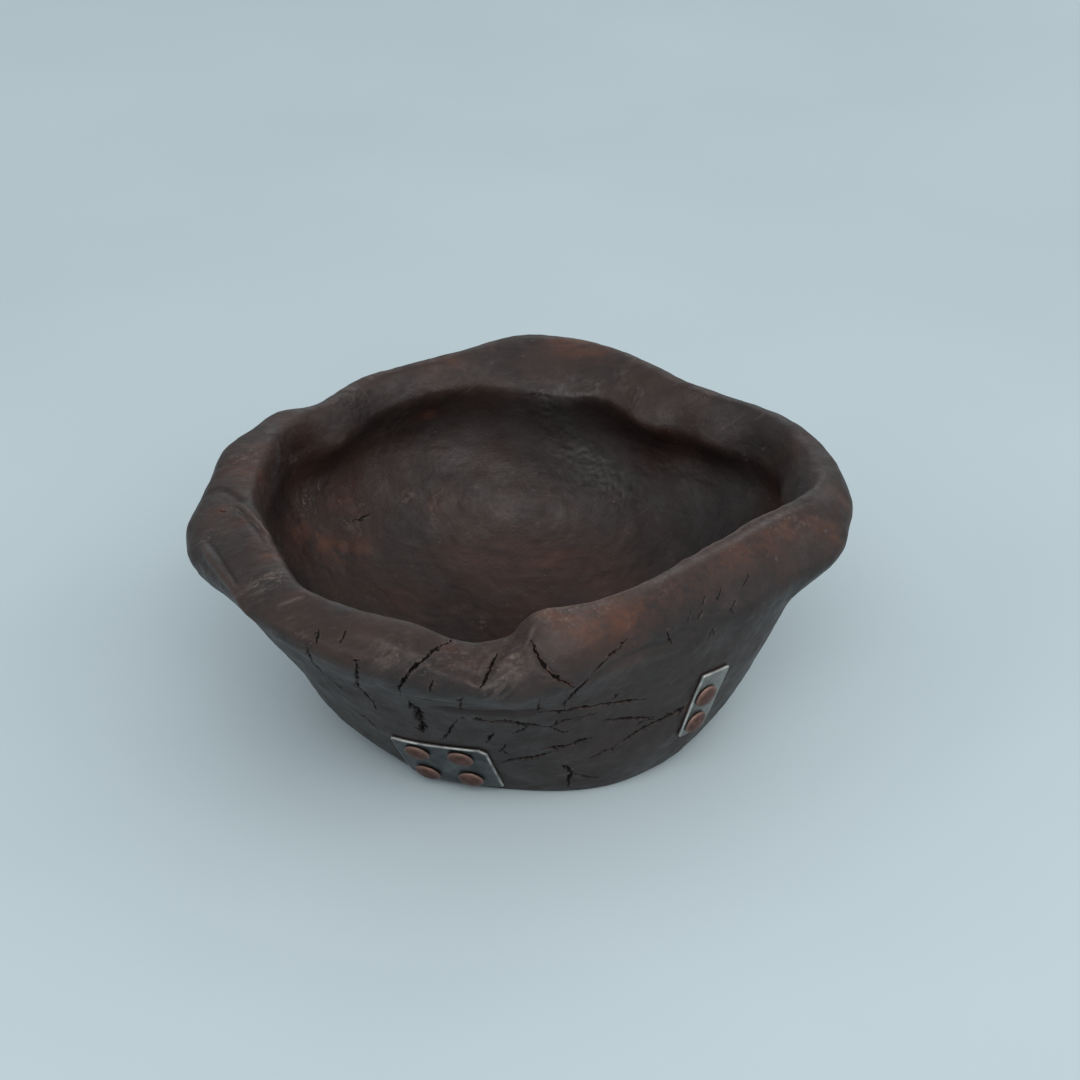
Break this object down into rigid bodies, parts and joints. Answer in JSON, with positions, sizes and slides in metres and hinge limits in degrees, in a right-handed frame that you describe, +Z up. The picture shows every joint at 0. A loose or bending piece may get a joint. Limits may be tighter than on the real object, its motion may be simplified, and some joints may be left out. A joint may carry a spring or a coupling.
{
  "type": "wooden bowl",
  "caption": "Hand-carved wooden bowl with a flat foot, flaring wall and thick wavy folded lip, mended outside with riveted metal patches.",
  "frame": {"origin": "middle of the foot's underside, on the plane the bowl stands on", "axes": "+Z up out of the mouth, -Y towards the side with the larger patch, +X to the right seen from there, along the bowl's widest line"},
  "size_m": [0.2907, 0.2716, 0.1258],
  "materials": {
    "stained_wood": "dark stained, hand rubbed, satin with worn reddish patches",
    "patch_metal": "aged grey sheet with bright worn edges",
    "rivet_copper": "aged copper, dull and darkened at the rim"
  },
  "bodies": {
    "root": {"bowl_body": "stained_wood", "front_patch_plate": "patch_metal", "side_patch_plate": "patch_metal", "front_rivet_1": "rivet_copper", "front_rivet_2": "rivet_copper", "front_rivet_3": "rivet_copper", "front_rivet_4": "rivet_copper", "side_rivet_1": "rivet_copper", "side_rivet_2": "rivet_copper"}
  },
  "joints": []
}
